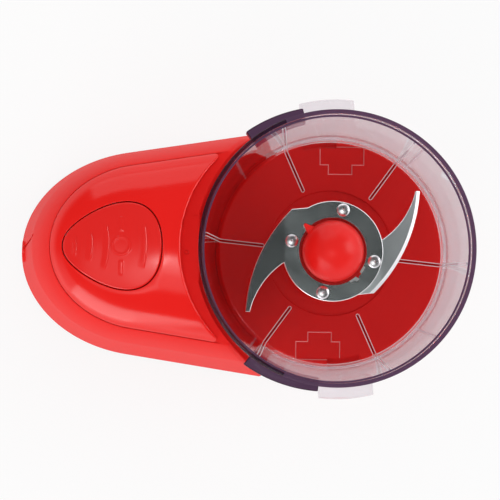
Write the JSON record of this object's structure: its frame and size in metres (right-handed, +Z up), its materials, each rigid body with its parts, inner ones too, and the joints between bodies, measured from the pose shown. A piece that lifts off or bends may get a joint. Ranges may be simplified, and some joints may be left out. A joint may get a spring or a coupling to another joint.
{
  "type": "mini food chopper",
  "caption": "Compact motor tower with a domed push button beside a clear ribbed bowl on a low turret, with a curved twin-arm blade driven by a belt.",
  "frame": {"origin": "on the table, under the middle of the appliance's length and width", "axes": "+X from the motor tower towards the bowl, +Y to the left of that, +Z up"},
  "size_m": [0.2346, 0.152, 0.1154],
  "materials": {
    "red_housing": "glossy moulded plastic",
    "red_cover": "glossy moulded plastic",
    "red_button": "glossy moulded plastic",
    "red_hub": "glossy moulded plastic",
    "smoky_clear": "clear smoky plastic",
    "black_plastic": "fine matt texture",
    "pale_plastic": "satin moulded plastic",
    "amber_plastic": "satin moulded plastic",
    "red_plastic": "satin moulded plastic",
    "dark_steel": "brushed, dark in reflection",
    "bright_steel": "polished",
    "sheet_steel": "zinc plated sheet",
    "stack_steel": "stacked sheets with varnish",
    "copper_wire": "enamelled wire",
    "brass_parts": "satin",
    "carbon": "matt carbon",
    "rubber_parts": "matt"
  },
  "bodies": {
    "housing": {"main_housing": "red_housing", "top_cover": "red_cover", "base_plate": "black_plastic", "rubber_feet": "rubber_parts", "base_screws": "sheet_steel", "cover_screws": "sheet_steel", "button_springs": "bright_steel", "switch_bracket": "pale_plastic", "bracket_screws": "sheet_steel", "power_switch": "black_plastic", "interlock_spring": "bright_steel", "interlock_switch": "black_plastic", "stator_core": "stack_steel", "field_coils": "copper_wire", "lower_motor_bracket": "sheet_steel", "upper_motor_bracket": "sheet_steel", "motor_bushes": "brass_parts", "motor_screws": "sheet_steel", "motor_nuts": "sheet_steel", "brush_holders": "brass_parts", "carbon_brushes": "carbon", "motor_mounts": "rubber_parts", "drive_belt": "rubber_parts", "spindle_bushes": "brass_parts", "spindle_seal": "rubber_parts", "cord_gland": "red_housing", "cord_clamp": "pale_plastic", "clamp_screws": "sheet_steel", "terminal_block": "pale_plastic", "suppressor": "amber_plastic", "wiring": "red_plastic"},
    "bowl": {"bowl": "smoky_clear"},
    "spindle": {"spindle": "bright_steel", "spindle_pulley": "pale_plastic", "retaining_ring": "sheet_steel", "drive_dog": "black_plastic"},
    "blade": {"blade_hub": "red_hub", "upper_blade": "dark_steel", "lower_blade": "dark_steel", "blade_rivets": "bright_steel"},
    "rotor": {"rotor_shaft": "bright_steel", "rotor_core": "stack_steel", "rotor_windings": "copper_wire", "commutator": "brass_parts", "cooling_fan": "black_plastic", "motor_pulley": "pale_plastic"},
    "button": {"button_cap": "red_button"},
    "power_plunger": {"switch_plunger": "red_plastic"},
    "interlock": {"interlock_plunger": "red_housing"},
    "interlock_pin": {"interlock_pin": "red_plastic"}
  },
  "joints": [
    {"name": "spindle_spin", "type": "hinge", "parent": "housing", "child": "spindle", "pos_m": [0.04725, 0, 0], "axis": [0, 0, -1], "continuous": true},
    {"name": "motor_spin", "type": "hinge", "parent": "housing", "child": "rotor", "pos_m": [-0.06475, 0, 0], "axis": [0, 0, -1], "continuous": true},
    {"name": "bowl_lift", "type": "slide", "parent": "housing", "child": "bowl", "axis": [0, 0, 1], "range_m": [0, 0.06]},
    {"name": "blade_lift", "type": "slide", "parent": "spindle", "child": "blade", "axis": [0, 0, 1], "range_m": [0, 0.06]},
    {"name": "button_press", "type": "slide", "parent": "housing", "child": "button", "axis": [0, 0, -1], "range_m": [0, 0.0025], "stiffness_N_per_m": 1600, "springref_m": -0.0015, "deforming": ["button_springs"]},
    {"name": "switch_travel", "type": "slide", "parent": "housing", "child": "power_plunger", "axis": [0, 0, -1], "range_m": [0, 0.0025]},
    {"name": "interlock_press", "type": "slide", "parent": "housing", "child": "interlock", "axis": [0, 0, -1], "range_m": [0, 0.003], "stiffness_N_per_m": 300, "springref_m": -0.002, "deforming": ["interlock_spring"]},
    {"name": "interlock_travel", "type": "slide", "parent": "housing", "child": "interlock_pin", "axis": [0, 0, -1], "range_m": [0, 0.003]}
  ],
  "couplings": [
    {"joint": "motor_spin", "follows": "spindle_spin", "ratio": 3.2857},
    {"joint": "blade_lift", "follows": "bowl_lift", "ratio": 1},
    {"joint": "switch_travel", "follows": "button_press", "ratio": 1},
    {"joint": "interlock_travel", "follows": "interlock_press", "ratio": 1}
  ]
}
